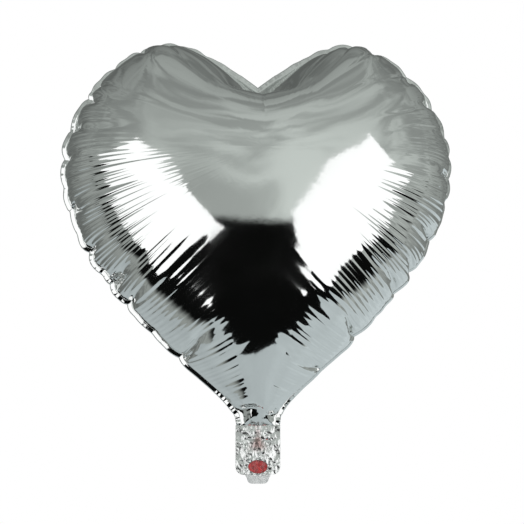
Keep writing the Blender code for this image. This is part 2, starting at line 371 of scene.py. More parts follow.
def smoothThrough(flat, values, wanted, depth, spacing):
    # a smooth surface through scattered points: a small curved patch is fitted round each place
    tree = KDTree(len(flat))
    for i, (x, z) in enumerate(flat):
        tree.insert((x, z, 0.0), i)
    tree.balance()
    near = np.array([[hit[1] for hit in tree.find_n((x, z, 0.0), foilSkin["neighbours"])]
                     for x, z in wanted])
    offset = (flat[near] - wanted[:, None]) / spacing
    u, v = offset[..., 0], offset[..., 1]
    calm = np.clip((depth - foilSkin["calmFrom"]) / foilSkin["calmOver"], 0, 1)[:, None]
    reach = foilSkin["reach"] * (1 - calm) + foilSkin["calmReach"] * calm
    weight = np.exp(-(u * u + v * v) / (2 * reach ** 2))
    basis = np.stack([np.ones_like(u), u, v, u * u, u * v, v * v], -1)
    weighted = basis * weight[..., None]
    left = np.einsum("nki,nkj->nij", weighted, basis) + 1e-5 * np.eye(6)
    right = np.einsum("nki,nkj->nij", weighted, values[near])
    return np.linalg.solve(left, right)[:, 0]


def eased(share):
    # 0 to 1 with level ends
    share = np.clip(share, 0, 1)
    return share * share * (3 - 2 * share)


def wrapSmooth(values, window):
    # running mean round a closed line
    kernel = np.hanning(window + 2)[1:-1]
    kernel /= kernel.sum()
    half = window // 2
    padded = np.concatenate([values[-half:], values, values[:half]])
    return np.stack([np.convolve(padded[:, k], kernel, "valid") for k in range(values.shape[1])], 1)


def cadSeam(count):
    # the frame's seam line in the XZ plane, from the notch clockwise, evenly spaced on each half
    points = np.array([v.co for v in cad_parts["front_panel"].data.vertices])
    rim = points[points[:, 1] > points[:, 1].max() - 0.00003][:, [0, 2]]
    rim = np.unique(np.round(rim, 5), axis=0)
    right = rim[rim[:, 0] > -1e-6]
    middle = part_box("front_panel")[1][2] / 2
    order = np.argsort(-np.arctan2(right[:, 1] - middle, right[:, 0]))
    right = evenly(right[order], count // 2 + 1)
    return np.vstack([right, right[1:-1][::-1] * (-1, 1)])


def vertexNormals(points, faces):
    normals = np.zeros_like(points)
    for size in (3, 4):
        some = np.array([f for f in faces if len(f) == size])
        if not len(some):
            continue
        a, b = points[some[:, 0]], points[some[:, 1]]
        c, d = points[some[:, 2]], points[some[:, size - 1]]
        face = np.cross(c - a, d - b) if size == 4 else np.cross(b - a, c - a)
        for k in range(size):
            for axis in range(3):
                normals[:, axis] += np.bincount(some[:, k], face[:, axis], len(points))
    return normals / np.maximum(np.linalg.norm(normals, axis=1), 1e-12)[:, None]


puckers = {  # the fine folds that run from the seam into the panel
    "spacing": 0.0047,
    "jitter": 0.24,  # of the spacing
    "widthShare": 0.27,  # half width of a fold, of the spacing
    "patches": 46,  # groups of stronger and weaker folds round the seam
    "height": 0.0018,
    "edgeShare": 0.30,  # of the height, beside the seam, where the film is pulled taut
    "fullDepth": 0.060,  # from the seam to where the folds stand at their full height
    "heights": [0.016, 0.060, 0.150, 0.230, 0.300, 0.345, 0.372],  # places up the seam
    "lengths": [0.050, 0.098, 0.122, 0.108, 0.060, 0.030, 0.026],  # how far the folds reach there
    "strengths": [0.3, 0.8, 1.0, 0.95, 0.45, 0.32, 0.26],
    "seamFade": 0.006,
    "seed": 11,
}


def pairedShare(line):
    # share of the way round each half of a closed line
    count = len(line)
    closed = np.vstack([line, line[:1]])
    along = np.concatenate([[0.0], np.cumsum(np.linalg.norm(np.diff(closed, axis=0), axis=1))])
    half = along[count // 2]
    return np.where(np.arange(count) <= count // 2, along[:-1] / half,
                    1 + (along[:-1] - half) / (along[-1] - half))


def onto(line, share):
    # the places on a closed line at those shares of its halves
    closed = np.vstack([line, line[:1]])
    own = np.append(pairedShare(line), 2.0)
    return np.stack([np.interp(share, own, closed[:, k]) for k in range(2)], 1)


creases = {  # the sharp folds at the pinches
    "depth": 0.0027,
    "width": 0.0018,
    "shoulder": 0.0085,
    "reach": 0.056,
    "wander": 0.004,  # how far a fold's line strays sideways
    "wanderLength": 0.022,
    "seamFade": 0.003,
    "notch": (90, 0.55),
    "slitDepth": 0.0065,  # the tight fold that starts at the notch
    "slitWidth": 0.0012,
    "slitReach": 0.030,
}


def gapTo(direction, bearing, along, total, columns, depth):
    # distance along the seam from the line of the fold that starts in that direction
    centre = along[np.argmin(np.abs((bearing - direction + 180) % 360 - 180))]
    gap = (along[columns] - centre + total / 2) % total - total / 2
    return gap + creases["wander"] * np.sin(depth / creases["wanderLength"] + direction)


def creaseField(along, total, depth, columns, outline):
    # a narrow valley at every pinch, deepest at the seam
    v = creases
    bearing = np.degrees(np.arctan2(*(outline - flatMiddle).T[::-1]))
    atSeam = np.minimum(1.0, depth / v["seamFade"])
    height = np.zeros(len(depth))
    for direction, share in seamPinches + [v["notch"]]:
        gap = gapTo(direction, bearing, along, total, columns, depth)
        fade = np.exp(-(depth / v["reach"]) ** 2) * atSeam
        strong = v["depth"] * (1.15 - share)
        height -= strong * fade * (np.exp(-np.abs(gap / v["width"]) ** 1.5)
                                   + 0.9 * np.exp(-np.abs(gap / v["shoulder"]) ** 1.3))
    gap = gapTo(v["notch"][0], bearing, along, total, columns, depth)
    fade = np.exp(-(depth / v["slitReach"]) ** 3) * atSeam
    return height - v["slitDepth"] * fade * np.exp(-np.abs(gap / v["slitWidth"]) ** 1.5)


def puckerField(along, total, depth, columns, seamHeight, seed):
    # height of the folds at every point, from its place along the seam and its distance from it
    v = puckers
    dice = np.random.default_rng(seed)
    height = np.zeros(len(depth))
    count = int(total / v["spacing"])
    centres = (np.arange(count) + dice.uniform(-v["jitter"], v["jitter"], count)) * total / count
    level = np.interp(centres, along, seamHeight)
    slow = np.interp(centres, np.linspace(0, total, v["patches"]), dice.uniform(0, 1, v["patches"]))
    reach = np.interp(level, v["heights"], v["lengths"])
    reach = reach * (0.66 + 0.22 * slow + 0.16 * dice.uniform(0, 1, count))
    strong = v["height"] * np.interp(level, v["heights"], v["strengths"])
    strong = strong * (0.45 + 0.75 * slow) * dice.uniform(0.65, 1.15, count)
    place = along[columns]
    cell = np.floor(place / (total / count)).astype(int)
    for shift in range(-2, 3):
        which = (cell + shift) % count
        gap = (place - centres[which] + total / 2) % total - total / 2
        width = v["spacing"] * v["widthShare"]
        fade = np.exp(-(depth / reach[which]) ** 3) * np.minimum(1.0, depth / v["seamFade"])
        fade *= v["edgeShare"] + (1 - v["edgeShare"]) * np.clip(depth / v["fullDepth"], 0, 1)
        height += strong[which] * fade * np.exp(-0.5 * (gap / width) ** 2)
    return height


cleft = {  # the panels sink below the seam between the lobes
    "drop": 0.0155,
    "width": 0.045,
    "start": 0.010,  # forward of the seam
    "endFrom": 0.045,  # and forward of this the panel is left as it is
    "endOver": 0.050,
    "above": 0.26,
    "aboveOver": 0.05,
}


neckFolds = {
    "swell": 0.0052,  # how far the neck opens between the fold and the belly
    "swellTop": 0.052,
    "swellEdge": 0.014,  # distance from the seam where it is fully open
    "top": 0.034,  # above this height the film is smooth
    "facets": 620,
    "cell": 0.0034,
    "height": 0.00026,
    "pleat": 0.0052,
    "pleatHeight": 0.00012,
}


def followSeam(places, count, shares, columns):
    # carries the panel onto the frame's seam line, closely beside the notch and evenly elsewhere
    v = foilSkin
    seam = places[:count][:, [0, 2]]
    window = int(v["steadyWindow"] / lineLength(seam) * count) // 2 * 2 + 1
    steady = wrapSmooth(seam, window)
    aim = onto(wrapSmooth(cadSeam(count), window), pairedShare(steady))
    even = aim - steady
    near = onto(wrapSmooth(cadSeam(count), v["crispWindow"]), pairedShare(seam)) - seam
    crisp = eased((v["crispHalf"] - np.abs(seam[:, 0])) / v["crispOver"]) * (seam[:, 1] > v["crispAbove"])
    crisp = crisp[:, None]
    shift = (even * (1 - crisp) + near * crisp)[columns] * ((1 - shares) ** 2)[:, None]
    places[:, 0] += shift[:, 0]
    places[:, 2] += shift[:, 1]


def sinkCleft(places):
    v = cleft
    forward = -places[:, 1]
    pull = v["drop"] * np.exp(-(places[:, 0] / v["width"]) ** 2) * (1 - np.exp(-forward / v["start"]))
    pull *= 1 - eased((forward - v["endFrom"]) / v["endOver"])
    pull *= np.clip((places[:, 2] - v["above"]) / v["aboveOver"], 0, 1)
    places[:, 2] -= pull


def openNeck(places, depth):
    v = neckFolds
    rise = np.clip(places[:, 2] / v["swellTop"], 0, 1)
    hump = rise * (1 - rise) ** 2 * 27 / 4  # one at its highest
    places[:, 1] -= v["swell"] * hump * eased(depth / v["swellEdge"])


def makePanels():
    flat, faces, seamCount = flatFilm(foilFill["spacing"])
    print("film:", len(flat), "points")
    filled = fillFilm(flat, faces, seamCount, foilFill)
    print("film filled, half depth", round(-filled[:, 1].min() * 1000, 1), "mm")
    count = foilSkin["around"]
    flatPlaces, skinFaces, shares, columns, depth = ringPlan(fineOutline(count), foilSkin["spineTop"])
    places = smoothThrough(flat, filled, flatPlaces, depth, foilFill["spacing"])
    followSeam(places, count, shares, columns)
    crown = -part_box("front_panel")[0][1]
    places[:, 1] *= crown / -places[:, 1].min()
    places[:count, 1] = 0.0
    places[:, 1] = np.minimum(places[:, 1], 0.0)
    sinkCleft(places)
    openNeck(places, depth)
    return places, skinFaces, columns, depth


filmLook = {  # lengths of the patterns in metres
    "metal": "#eceeed",
    "roughness": (0.045, 0.085),
    "handledRoughness": (0.16, 0.27),  # the tail, crazed by fingers and by the nozzle
    "haze": 0.0357,  # patches that are a little less bright
    "waviness": 0.009,  # slow unevenness of the stretched film
    "grain": 0.0016,  # real grain is far finer, drawn as coarse as it needs to show
    "inkBehind": "#8c5f57",
    "jawDots": 0.0013,
}

clearLook = {
    "colour": "#eef0f0",
    "roughness": 0.12,
    "ior": 1.51,
    "ripple": 0.00385,
}

inkLook = {
    "dark": "#93080e",
    "light": "#dd2c30",
    "roughness": 0.32,
    "blot": 0.00303,
}


def metallisedPet(name, roughness, knurled=0.0, channel=False):
    # PET film with vapour-deposited aluminium: a mirror, a little uneven, slightly hazy in places
    material, tree, shader = newMaterial(name)
    shader.inputs["Base Color"].default_value = hexColour(filmLook["metal"])
    shader.inputs["Metallic"].default_value = 1.0
    place = addNode(tree, "ShaderNodeTexCoord").outputs["Object"]
    haze = addNode(tree, "ShaderNodeTexNoise", {"Scale": 1 / filmLook["haze"], "Detail": 3.0}, Vector=place)
    rough = addNode(tree, "ShaderNodeMapRange", inputs=(haze.outputs["Fac"], 0.35, 0.7, *roughness))
    tree.links.new(rough.outputs["Result"], shader.inputs["Roughness"])
    slow = addNode(tree, "ShaderNodeTexNoise", {"Scale": 1 / filmLook["waviness"], "Detail": 2.0},
                   Vector=place)
    waves = addNode(tree, "ShaderNodeBump", {"Strength": 0.5, "Distance": 0.00006},
                    Height=slow.outputs["Fac"])
    grain = addNode(tree, "ShaderNodeTexNoise", {"Scale": 1 / filmLook["grain"], "Detail": 1.0},
                    Vector=place)
    surface = addNode(tree, "ShaderNodeBump", {"Strength": 0.35, "Distance": 0.000004},
                      Height=grain.outputs["Fac"], Normal=waves.outputs["Normal"])
    if channel:
        # the inked channel behind the thin metal gives a brownish pink cast
        cast = addNode(tree, "ShaderNodeAttribute", {"attribute_name": "channel"}).outputs["Fac"]
        colours = {0: cast, 6: hexColour(filmLook["metal"]), 7: hexColour(filmLook["inkBehind"])}
        tint = addNode(tree, "ShaderNodeMix", {"data_type": "RGBA"}, colours)
        tree.links.new(tint.outputs[2], shader.inputs["Base Color"])
    if knurled:
        # the hot jaw of the sealing machine leaves a grid of small dots
        dots = addNode(tree, "ShaderNodeTexVoronoi", {"Scale": 1 / filmLook["jawDots"], "Randomness": 0.35},
                       Vector=place)
        surface = addNode(tree, "ShaderNodeBump", {"Strength": knurled, "Distance": 0.0002},
                          Height=dots.outputs["Distance"], Normal=surface.outputs["Normal"])
    tree.links.new(surface.outputs["Normal"], shader.inputs["Normal"])
    return material


def clearPolyethylene(name, body):
    # clear PE film, cast and slit: a thin glossy skin with faint ripples; body: how much of it shows
    material, tree, shader = newMaterial(name)
    shader.inputs["Base Color"].default_value = hexColour(clearLook["colour"])
    shader.inputs["Roughness"].default_value = clearLook["roughness"]
    shader.inputs["IOR"].default_value = clearLook["ior"]
    place = addNode(tree, "ShaderNodeTexCoord").outputs["Object"]
    noise = {"Scale": 1 / clearLook["ripple"], "Detail": 2.0, "Distortion": 0.6}
    ripple = addNode(tree, "ShaderNodeTexNoise", noise, Vector=place)
    bump = addNode(tree, "ShaderNodeBump", {"Strength": 0.2, "Distance": 0.0003},
                   Height=ripple.outputs["Fac"])
    tree.links.new(bump.outputs["Normal"], shader.inputs["Normal"])
    alpha = addNode(tree, "ShaderNodeMapRange", inputs=(ripple.outputs["Fac"], 0.3, 0.7, *body))
    tree.links.new(alpha.outputs["Result"], shader.inputs["Alpha"])
    return material


def redReleaseInk(name):
    # heat-resistant ink printed on the film: satin red, a little uneven where the press skipped
    material, tree, shader = newMaterial(name)
    shader.inputs["Roughness"].default_value = inkLook["roughness"]
    shader.inputs["Coat Weight"].default_value = 0.15
    shader.inputs["Coat Roughness"].default_value = 0.08
    place = addNode(tree, "ShaderNodeTexCoord").outputs["Object"]
    blot = addNode(tree, "ShaderNodeTexNoise", {"Scale": 1 / inkLook["blot"], "Detail": 4.0}, Vector=place)
    ramp = addNode(tree, "ShaderNodeValToRGB", Fac=blot.outputs["Fac"])
    dark, light = ramp.color_ramp.elements
    dark.position = 0.36
    dark.color = hexColour(inkLook["dark"])
    light.position = 0.66
    light.color = hexColour(inkLook["light"])
    tree.links.new(ramp.outputs["Color"], shader.inputs["Base Color"])
    bump = addNode(tree, "ShaderNodeBump", {"Strength": 0.4, "Distance": 0.0002},
                   Height=blot.outputs["Fac"])
    tree.links.new(bump.outputs["Normal"], shader.inputs["Normal"])
    return material


foil = metallisedPet("metallisedPetFilm", filmLook["roughness"])
sealedFoil = metallisedPet("heatSealedPetFilm", filmLook["roughness"], knurled=0.04)
channelFoil = metallisedPet("handledPetFilm", filmLook["handledRoughness"], channel=True)
clearFilm = clearPolyethylene("clearPolyethyleneFilm", (0.0, 0.07))
crinkledFilm = clearPolyethylene("crinkledPolyethyleneFilm", (0.28, 0.62))
redInk = redReleaseInk("redReleaseInk")


def neckCrumple(places, depth, seed):
    # facets of crushed film where the two sheets are gathered at the neck
    v = neckFolds
    dice = np.random.default_rng(seed + 50)
    near = np.where(places[:, 2] < v["top"])[0]
    count = v["facets"]
    across = dice.uniform(-0.05, 0.05, count)
    centres = np.stack([across, dice.uniform(-0.004, v["top"] + 0.004, count)], 1)
    level = dice.normal(0, 1, count)
    tilt = dice.normal(0, 1, (count, 2))
    height = np.zeros(len(places))
    offset = places[near][:, None, [0, 2]] - centres[None]
    closeness = np.exp(-(offset ** 2).sum(2) / (0.42 * v["cell"] ** 2)) + 1e-12
    facets = level + 0.8 * (offset / v["cell"] * tilt).sum(2)
    height[near] = (facets * closeness).sum(1) / closeness.sum(1)
    rise = np.clip((v["top"] - places[:, 2]) / 0.020, 0, 1) ** 1.5
    side = np.clip(1.25 - np.abs(places[:, 0]) / 0.030, 0, 1)
    seamFade = np.clip(depth / 0.003, 0, 1)
    pleats = np.cos(places[:, 0] / v["pleat"] * 2 * math.pi + 1.5 * np.sin(places[:, 2] / 0.008))
    return (height * v["height"] + pleats * v["pleatHeight"]) * rise * side * seamFade


def makeEnvelope():
    places, faces, columns, depth = makePanels()
    count = foilSkin["around"]
    closed = np.vstack([places[:count], places[:1]])
    along = np.concatenate([[0.0], np.cumsum(np.linalg.norm(np.diff(closed, axis=0), axis=1))])
    sheets = []
    for seed in (puckers["seed"], puckers["seed"] + 1):
        sheet = places.copy()
        height = puckerField(along[:-1], along[-1], depth, columns, places[:count, 2], seed)
        height += creaseField(along[:-1], along[-1], depth, columns, fineOutline(count))
        height += neckCrumple(places, depth, seed)
        sheet += vertexNormals(places, faces) * height[:, None]
        sheet[:count] = places[:count]
        sheets.append(sheet)
    sheets[1][:, 1] *= -1
    number = np.concatenate([np.arange(count), np.arange(len(places), 2 * len(places) - count)])
    allFaces = list(faces) + [[int(number[i]) for i in face[::-1]] for face in faces]
    points = np.vstack([sheets[0], sheets[1][count:]])
    envelope = makeObject("foilEnvelope", points, allFaces, foil)
    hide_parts("front_panel", "back_panel")
    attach(envelope, "envelope")
    print("envelope:", len(allFaces), "faces")
    return places[:count], along


seamLine, seamAlong = makeEnvelope()

sealBand = {  # the crimped margin round the heart
    "width": 0.0048,
    "tuck": 0.0006,  # how far it starts inside the seam
    "rows": 6,
    "columns": 2048,
    "thickness": 0.00012,
    "crimpSpacing": 0.0068,
    "crimpHeight": 0.0010,
    "drift": 5.0,  # crimps by which the spacing wanders
    "driftsPerMetre": 55.0,
    "heights": [0.004, 0.016, 0.040, 0.120, 0.210, 0.290, 0.330, 0.372],  # places up the seam
    "leftCrimp": [1.3, 0.55, 0.16, 0.60, 0.45, 0.05, 0.03, 0.03],
    "rightCrimp": [1.3, 0.55, 0.10, 0.16, 0.08, 0.05, 0.03, 0.03],
    "leftCurl": [0, 10, 35, 25, 25, 25, 10, 5],  # degrees the band turns back
    "rightCurl": [0, 20, 55, 62, 58, 35, 10, 5],
    "easing": 0.006,  # the band's direction leaves out the seam's smallest bends
    "openFoot": 0.0025,  # the foot of the neck stays open for the tail
    "patches": 40,
    "patchesAbove": 0.030,
    "seed": 21,
}


def crimpTree():
    # bends a band out of its plane in waves along its edge, more towards its free side
    tree = bpy.data.node_groups.new("crimpBand", "GeometryNodeTree")
    face = tree.interface
    face.new_socket("Geometry", in_out="INPUT", socket_type="NodeSocketGeometry")
    face.new_socket("Crimp Spacing", in_out="INPUT", socket_type="NodeSocketFloat")
    face.new_socket("Crimp Height", in_out="INPUT", socket_type="NodeSocketFloat")
    face.new_socket("Finish", in_out="INPUT", socket_type="NodeSocketMaterial")
    face.new_socket("Geometry", in_out="OUTPUT", socket_type="NodeSocketGeometry")
    given = addNode(tree, "NodeGroupInput").outputs
    along = addNode(tree, "GeometryNodeInputNamedAttribute", {"Name": "along"}).outputs["Attribute"]
    loose = addNode(tree, "GeometryNodeInputNamedAttribute", {"Name": "looseness"}).outputs["Attribute"]
    line = addNode(tree, "ShaderNodeCombineXYZ", X=along).outputs["Vector"]
    noise = {"Scale": sealBand["driftsPerMetre"], "Detail": 2.0}
    drift = addNode(tree, "ShaderNodeTexNoise", noise, Vector=line).outputs["Fac"]
    turns = addNode(tree, "ShaderNodeMath", {"operation": "DIVIDE"}, (along, given["Crimp Spacing"]))
    phase = addNode(tree, "ShaderNodeMath", {"operation": "MULTIPLY_ADD"},
                    (drift, sealBand["drift"], turns.outputs[0]))
    angle = addNode(tree, "ShaderNodeMath", multiply, (phase.outputs[0], 2 * math.pi))
    wave = addNode(tree, "ShaderNodeMath", {"operation": "SINE"}, (angle.outputs[0],))
    lift = addNode(tree, "ShaderNodeMath", multiply, (wave.outputs[0], given["Crimp Height"]))
    free = addNode(tree, "ShaderNodeMath", multiply, (lift.outputs[0], loose))
    offset = addNode(tree, "ShaderNodeCombineXYZ", Y=free.outputs[0]).outputs["Vector"]
    moved = addNode(tree, "GeometryNodeSetPosition", Geometry=given["Geometry"], Offset=offset)
    real = addNode(tree, "GeometryNodeRealizeInstances", Geometry=moved.outputs["Geometry"])
    finish = addNode(tree, "GeometryNodeSetMaterial", Geometry=real.outputs["Geometry"],
                     Material=given["Finish"])
    addNode(tree, "NodeGroupOutput", Geometry=finish.outputs["Geometry"])
    return tree


def plainMesh(piece):
    # keeps the mesh that the modifiers give, and removes them
    evaluated = piece.evaluated_get(bpy.context.evaluated_depsgraph_get())
    mesh = bpy.data.meshes.new_from_object(evaluated)
    piece.modifiers.clear()
    piece.data = mesh
    mesh.shade_smooth()


def applyTree(piece, tree, values):
    # runs a Geometry Nodes tree on a piece
    modifier = piece.modifiers.new(tree.name, "NODES")
    modifier.node_group = tree
    for item in tree.interface.items_tree:
        if item.in_out == "INPUT" and item.name in values:
            modifier[item.identifier] = values[item.name]
    plainMesh(piece)


def addFloats(mesh, name, values):
    mesh.attributes.new(name, "FLOAT", "POINT").data.foreach_set("value", np.asarray(values, np.float32))


def giveWall(piece, thickness):
    wall = piece.modifiers.new("wall", "SOLIDIFY")
    wall.thickness = thickness
    wall.offset = 0.0


def bySide(line, heights, left, right):
    # a value for every place on the seam, from its height and its side
    return np.where(line[:, 0] < 0, np.interp(line[:, 1], heights, left),
                    np.interp(line[:, 1], heights, right))


def crimpShare(line):
    # how strongly the band is crimped, in patches above the neck
    v = sealBand
    count = len(line)
    dice = np.random.default_rng(v["seed"])
    spots = np.linspace(0, 1, v["patches"])
    patches = np.interp(np.linspace(0, 1, count), spots, dice.uniform(0, 1, v["patches"]))
    patches = np.where(line[:, 1] > v["patchesAbove"], np.clip(2.6 * patches - 0.9, 0.04, 1), 1.0)
    return bySide(line, v["heights"], v["leftCrimp"], v["rightCrimp"]) * patches


def makeSealBand():
    v = sealBand
    step = len(seamLine) // v["columns"]
    line = seamLine[::step][:, [0, 2]]
    count = len(line)
    keep = np.abs(line[:, 1]) > v["openFoot"]
    window = 2 * int(v["easing"] / seamAlong[-1] * count) + 1
    easy = wrapSmooth(line, max(window, 3))
    tangent = np.roll(easy, -1, 0) - np.roll(easy, 1, 0)
    tangent /= np.linalg.norm(tangent, axis=1)[:, None]
    outward = np.stack([-tangent[:, 1], tangent[:, 0]], 1)
    curl = np.radians(bySide(line, v["heights"], v["leftCurl"], v["rightCurl"]))
    steps = np.linspace(0, 1, v["rows"])
    rows = []
    for t in steps:
        reach = -v["tuck"] + (v["width"] + v["tuck"]) * t
        free = max(0.0, reach)
        row = line + outward * (reach - free + free * np.cos(curl))[:, None]
        rows.append(np.stack([row[:, 0], free * np.sin(curl), row[:, 1]], 1))
    points = np.vstack(rows)
    faces = []
    for low in range(0, (v["rows"] - 1) * count, count):
        high = low + count
        for i in range(count):
            j = (i + 1) % count
            if keep[i] and keep[j]:
                faces.append((low + i, low + j, high + j, high + i))
    band = makeObject("crimpedSeal", points, faces, sealedFoil)
    addFloats(band.data, "along", np.tile(seamAlong[:-1][::step], v["rows"]))
    addFloats(band.data, "looseness", np.repeat(steps, count) * np.tile(crimpShare(line), v["rows"]))
    applyTree(band, crimpTree(), {"Crimp Spacing": v["crimpSpacing"], "Crimp Height": v["crimpHeight"],
                                  "Finish": sealedFoil})
    shape = bmesh.new()
    shape.from_mesh(band.data)
    bmesh.ops.delete(shape, geom=[p for p in shape.verts if not p.link_faces], context="VERTS")
    shape.to_mesh(band.data)
    shape.free()
    giveWall(band, v["thickness"])
    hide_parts("seal_rim")
    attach(band, "envelope")
    print("seal band done")


makeSealBand()

tailCut = {  # the tail's two foil sheets
    "halfWidth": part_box("tail_back_sheet")[1][0],
    "top": 0.0022,
    "bottom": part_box("tail_back_sheet")[0][2],
    "corner": 0.0080,
    "facet": 0.0017,
    "crumple": 0.00034,
    "swell": 0.0011,  # how far each sheet stands off in the middle
    "leastDepth": 0.00008,
    "folds": [  # cross folds: height, slope, depth and width
        (-0.0072, 0.05, 0.0019, 0.0011),
        (-0.0112, -0.06, 0.0010, 0.0010),
    ],
    "rib": 0.0006,  # the valve's channel, which stands out under the foil
    "ribHalf": 0.0016,
    "holeWidth": 0.0190,
    "holeHeight": 0.0130,
    "holeToEnd": 0.0012,
    "foldStart": (0, 0, 0.0015),  # two places on the tail's middle line, near its top
    "foldEnd": (0, 0, -0.0045),
    "wall": 0.00010,
    "frontSeed": 5,
    "backSeed": 6,
}

valveCut = {  # the two clear films of the valve, and the ink between them
    "halfWidth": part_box("tail_valve_front_film")[1][0],
    "mouthHalf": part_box("mouth_front_lip")[1][0],
    "mouthEnd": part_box("mouth_front_lip")[0][2],
    "inkHalf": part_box("tail_release_coat")[1][0],
    "inkTop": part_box("tail_release_coat")[1][2],
    "inkBottom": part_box("tail_release_coat")[0][2],
    "top": -0.0020,
    "corner": 0.0050,
    "facet": 0.0026,
    "inkFacet": 0.0034,
    "apart": 0.0006,
    "crumple": 0.00026,
    "inkCrumple": 0.00013,
    "wall": 0.00006,
    "inkWall": 0.00005,
    "frontSeed": 8,
    "backSeed": 9,
    "inkSeed": 12,
}


def roundedTab(halfWidth, top, bottom, radius, steps=8):
    # a strip with square upper corners and round lower ones, as (x, z) from the upper left, clockwise
    outline = [(-halfWidth, top), (halfWidth, top)]
    for side, start in ((1, 0.0), (-1, -90.0)):
        for i in range(steps + 1):
            centre = (side * (halfWidth - radius), bottom + radius)
            outline.append(turned(centre, start - 90 * i / steps, radius))
    return outline


def ovalLine(width, height, centre, steps=40):
    angles = [2 * math.pi * i / steps for i in range(steps)]
    return [(width / 2 * math.cos(a), centre + height / 2 * math.sin(a)) for a in angles]


def spacedOutline(outline, spacing):
    # the corners stay, with points added between them
    points = []
    for a, b in zip(outline, outline[1:] + outline[:1]):
        parts = max(1, int(round(math.dist(a, b) / spacing)))
        for k in range(parts):
            points.append((a[0] + (b[0] - a[0]) * k / parts, a[1] + (b[1] - a[1]) * k / parts))
    return points


def crumpledSheet(name, outline, holes, facet, depthAt, material, seed):
    # a sheet of flat facets that meet in creases of different sharpness; depthAt gives y for x, z and dice
    dice = np.random.default_rng(seed)
    loops = [spacedOutline(outline, facet)] + [spacedOutline(hole, facet) for hole in holes]
    border = [p for loop in loops for p in loop]
    edges, start = [], 0
    for loop in loops:
        edges += [(start + i, start + (i + 1) % len(loop)) for i in range(len(loop))]
        start += len(loop)
    low, high = np.min(outline, axis=0), np.max(outline, axis=0)
    across = np.arange(low[0], high[0], 0.8 * facet)
    xs, zs = np.meshgrid(across, np.arange(low[1], high[1], 1.45 * facet))
    loose = np.stack([xs.ravel(), zs.ravel()], 1) + dice.uniform(-0.42, 0.42, (xs.size, 2)) * facet
    loose = loose[inside(loose, outline)]
    for hole in holes:
        loose = loose[~inside(loose, hole)]
    near = np.min([np.hypot(*(loose - p).T) for p in border], axis=0)
    loose = loose[near > 0.45 * facet]
    found = delaunay_2d_cdt([Vector(p) for p in border + [tuple(p) for p in loose]], edges, [], 1, 1e-7)
    flat = np.array([tuple(p) for p in found[0]])
    faces = [list(f) for f in found[2]]
    for hole in holes:
        middles = np.array([flat[f].mean(axis=0) for f in faces])
        faces = [f for f, gone in zip(faces, inside(middles, hole)) if not gone]
    depth = np.array([depthAt(x, z, dice) for x, z in flat])
    points = np.stack([flat[:, 0], depth, flat[:, 1]], 1)
    sheet = makeObject(name, points, faces, material)
    shape = bmesh.new()
    shape.from_mesh(sheet.data)
    bmesh.ops.recalc_face_normals(shape, faces=shape.faces)
    if sum(face.normal.y for face in shape.faces) > 0:
        bmesh.ops.reverse_faces(shape, faces=shape.faces)
    shape.to_mesh(sheet.data)
    shape.free()
    sharp = sheet.data.attributes.new("crease_edge", "FLOAT", "EDGE")
    sharp.data.foreach_set("value", dice.uniform(0.25, 0.95, len(sheet.data.edges)).astype(np.float32))
    return sheet


def settle(piece, thickness, levels=2):
    # rounds the creases and gives the film its wall
    soft = piece.modifiers.new("soft", "SUBSURF")
    soft.levels = soft.render_levels = levels
    giveWall(piece, thickness)
    plainMesh(piece)


def tailDepth(side):
    # the sheets part in the middle, are welded at the sides, and buckle where the tail is tied and folded
    v = tailCut

    def depthAt(x, z, dice):
        across = abs(x) / v["halfWidth"]
        down = min(1.0, max(0.0, -z / 0.007))
        broad = 0.00045 * math.sin(x / 0.0029 + 1.3 * side) * math.cos(z / 0.0037 + 0.7) * down
        calm = 0.72 + 0.28 * math.sin(x / 0.0041 + 2.0) * math.sin(z / 0.0049)
        swell = v["swell"] * (1 - min(1.0, across / 0.8) ** 2) * down + 0.00030
        ragged = v["crumple"] * dice.normal() * calm * (0.35 + 0.65 * down)
        if across >= 0.78:
            ragged *= 0.85
        if z > -0.0004:
            ragged *= 0.1
        (height, slope, deep, wide), (height2, slope2, deep2, wide2) = v["folds"]
        fold = deep * math.exp(-abs(z - height - slope * abs(x)) / wide)
        second = deep2 * math.exp(-abs(z - height2 - slope2 * x) / wide2)
        rib = v["rib"] * math.exp(-(x / v["ribHalf"]) ** 2) * math.exp(z / 0.018)
        return side * max(v["leastDepth"], swell + broad + ragged - (fold + second) * down + rib)

    return depthAt


def filmDepth(side):
    # the clear films stay close together, and crinkle more in the mouth that sticks out
    v = valveCut

    def depthAt(x, z, dice):
        return side * (v["apart"] + v["crumple"] * dice.normal() * (1 + (z < tailCut["bottom"])))

    return depthAt


def inkDepth(x, z, dice):
    return -0.0001 + valveCut["inkCrumple"] * dice.normal()


def channelTint(places):
    # where the inked channel shows through the foil: a funnel below the folds and a line above them
    x, z = np.abs(places[:, 0]), places[:, 2]
    funnel = np.clip(1.3 - x / (0.0035 + np.clip(-0.009 - z, 0, 0.02) * 0.55), 0, 1)
    funnel *= np.clip((-z - 0.007) / 0.003, 0, 1) * np.clip((z + 0.024) / 0.006, 0, 1)
    above = np.clip(1.3 - x / 0.0028, 0, 1) * (z > -0.009)
    return np.maximum(funnel, 0.6 * above) * 0.75


def makeTailSheet(name, nodes, side, holes, seed):
    v = tailCut
    outline = roundedTab(v["halfWidth"], v["top"], v["bottom"], v["corner"])
    sheet = crumpledSheet(name, outline, holes, v["facet"], tailDepth(side), channelFoil, seed)
    places = np.array([tuple(p.co) for p in sheet.data.vertices])
    addFloats(sheet.data, "channel", channelTint(places))
    settle(sheet, v["wall"])
    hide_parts(*nodes)
    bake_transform(sheet)


